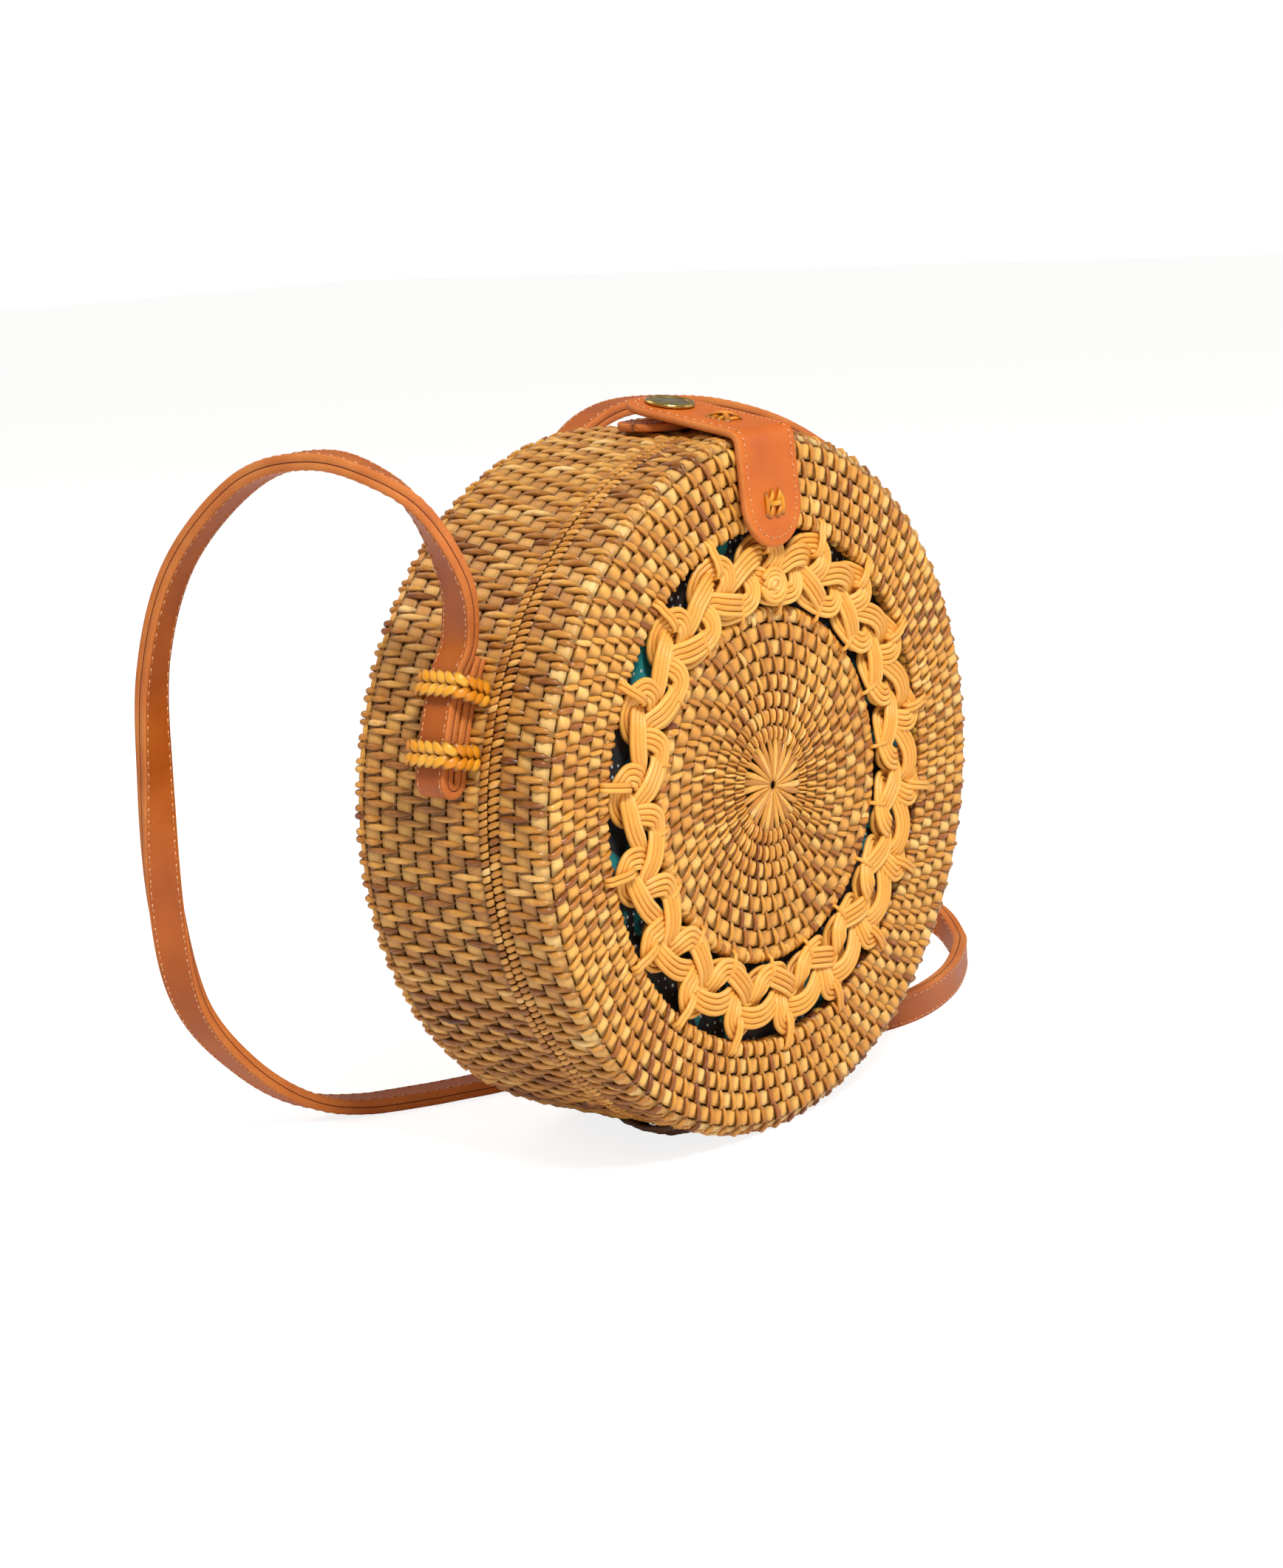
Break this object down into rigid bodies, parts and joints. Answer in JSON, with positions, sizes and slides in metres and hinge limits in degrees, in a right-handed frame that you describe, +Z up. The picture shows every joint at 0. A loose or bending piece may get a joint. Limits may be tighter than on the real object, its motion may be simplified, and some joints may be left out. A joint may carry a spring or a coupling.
{
  "type": "braided crossbody bag",
  "caption": "Round stiff woven rattan shoulder bag with a hinged lid, a braid ring in its front, a snap closure and a long leather strap.",
  "frame": {"origin": "lowest line of the drum, half way through its depth, on the bag's centre plane", "axes": "+Z up, -Y towards the woven front with the braid, +X to the right seen from the front"},
  "size_m": [0.3143, 0.151, 0.211],
  "materials": {
    "back_panel": "split rattan, woven and smoked, satin",
    "body_wall": "split rattan, woven and smoked, satin",
    "body_mouth_hoop": "peeled rattan cane, satin",
    "lining_body": "plain woven cotton print, matt",
    "strap": "smooth tan leather, satin",
    "strap_tie_left_upper": "waxed rattan strip, glossy",
    "strap_tie_left_lower": "waxed rattan strip, glossy",
    "strap_tie_right_upper": "waxed rattan strip, glossy",
    "strap_tie_right_lower": "waxed rattan strip, glossy",
    "base_tab": "smooth tan leather, satin",
    "base_tab_stitch": "waxed rattan strip, glossy",
    "snap_stud": "antique brass, polished rim",
    "stud_washer": "antique brass, polished rim",
    "hinge_left_body_leaf": "dark rattan strip, satin",
    "hinge_right_body_leaf": "dark rattan strip, satin",
    "lid_face_ring": "split rattan, woven and smoked, satin",
    "lid_wall": "split rattan, woven and smoked, satin",
    "lid_mouth_hoop": "peeled rattan cane, satin",
    "face_rim_wrap": "peeled rattan cane, satin",
    "disc_rim_wrap": "peeled rattan cane, satin",
    "centre_disc": "split rattan, woven and smoked, satin",
    "braid_strand_a": "peeled rattan cane, satin",
    "braid_strand_b": "peeled rattan cane, satin",
    "braid_strand_c": "peeled rattan cane, satin",
    "lining_lid_face": "plain woven cotton print, matt",
    "lining_lid_wall": "plain woven cotton print, matt",
    "closure_strap": "smooth tan leather, satin",
    "closure_top_stitch": "waxed rattan strip, glossy",
    "closure_front_stitch": "waxed rattan strip, glossy",
    "hinge_left_lid_leaf": "dark rattan strip, satin",
    "hinge_right_lid_leaf": "dark rattan strip, satin",
    "closure_flap": "smooth tan leather, satin",
    "snap_cap": "antique brass, polished rim",
    "snap_socket": "antique brass, polished rim"
  },
  "bodies": {
    "body": {"back_panel": "back_panel", "body_wall": "body_wall", "body_mouth_hoop": "body_mouth_hoop", "lining_body": "lining_body", "strap": "strap", "strap_tie_left_upper": "strap_tie_left_upper", "strap_tie_left_lower": "strap_tie_left_lower", "strap_tie_right_upper": "strap_tie_right_upper", "strap_tie_right_lower": "strap_tie_right_lower", "base_tab": "base_tab", "base_tab_stitch": "base_tab_stitch", "snap_stud": "snap_stud", "stud_washer": "stud_washer", "hinge_left_body_leaf": "hinge_left_body_leaf", "hinge_right_body_leaf": "hinge_right_body_leaf"},
    "lid": {"lid_face_ring": "lid_face_ring", "lid_wall": "lid_wall", "lid_mouth_hoop": "lid_mouth_hoop", "face_rim_wrap": "face_rim_wrap", "disc_rim_wrap": "disc_rim_wrap", "centre_disc": "centre_disc", "braid_strand_a": "braid_strand_a", "braid_strand_b": "braid_strand_b", "braid_strand_c": "braid_strand_c", "lining_lid_face": "lining_lid_face", "lining_lid_wall": "lining_lid_wall", "closure_strap": "closure_strap", "closure_top_stitch": "closure_top_stitch", "closure_front_stitch": "closure_front_stitch", "hinge_left_lid_leaf": "hinge_left_lid_leaf", "hinge_right_lid_leaf": "hinge_right_lid_leaf"},
    "flap": {"closure_flap": "closure_flap", "snap_cap": "snap_cap", "snap_socket": "snap_socket"}
  },
  "joints": [
    {"name": "lid_hinge", "type": "hinge", "parent": "body", "child": "lid", "pos_m": [0, -0.015, -0.0003], "axis": [1, 0, 0], "range_deg": [0, 110]},
    {"name": "flap_hinge", "type": "hinge", "parent": "lid", "child": "flap", "pos_m": [0, -0.01669, 0.20623], "axis": [1, 0, 0], "range_deg": [0, 110]}
  ]
}
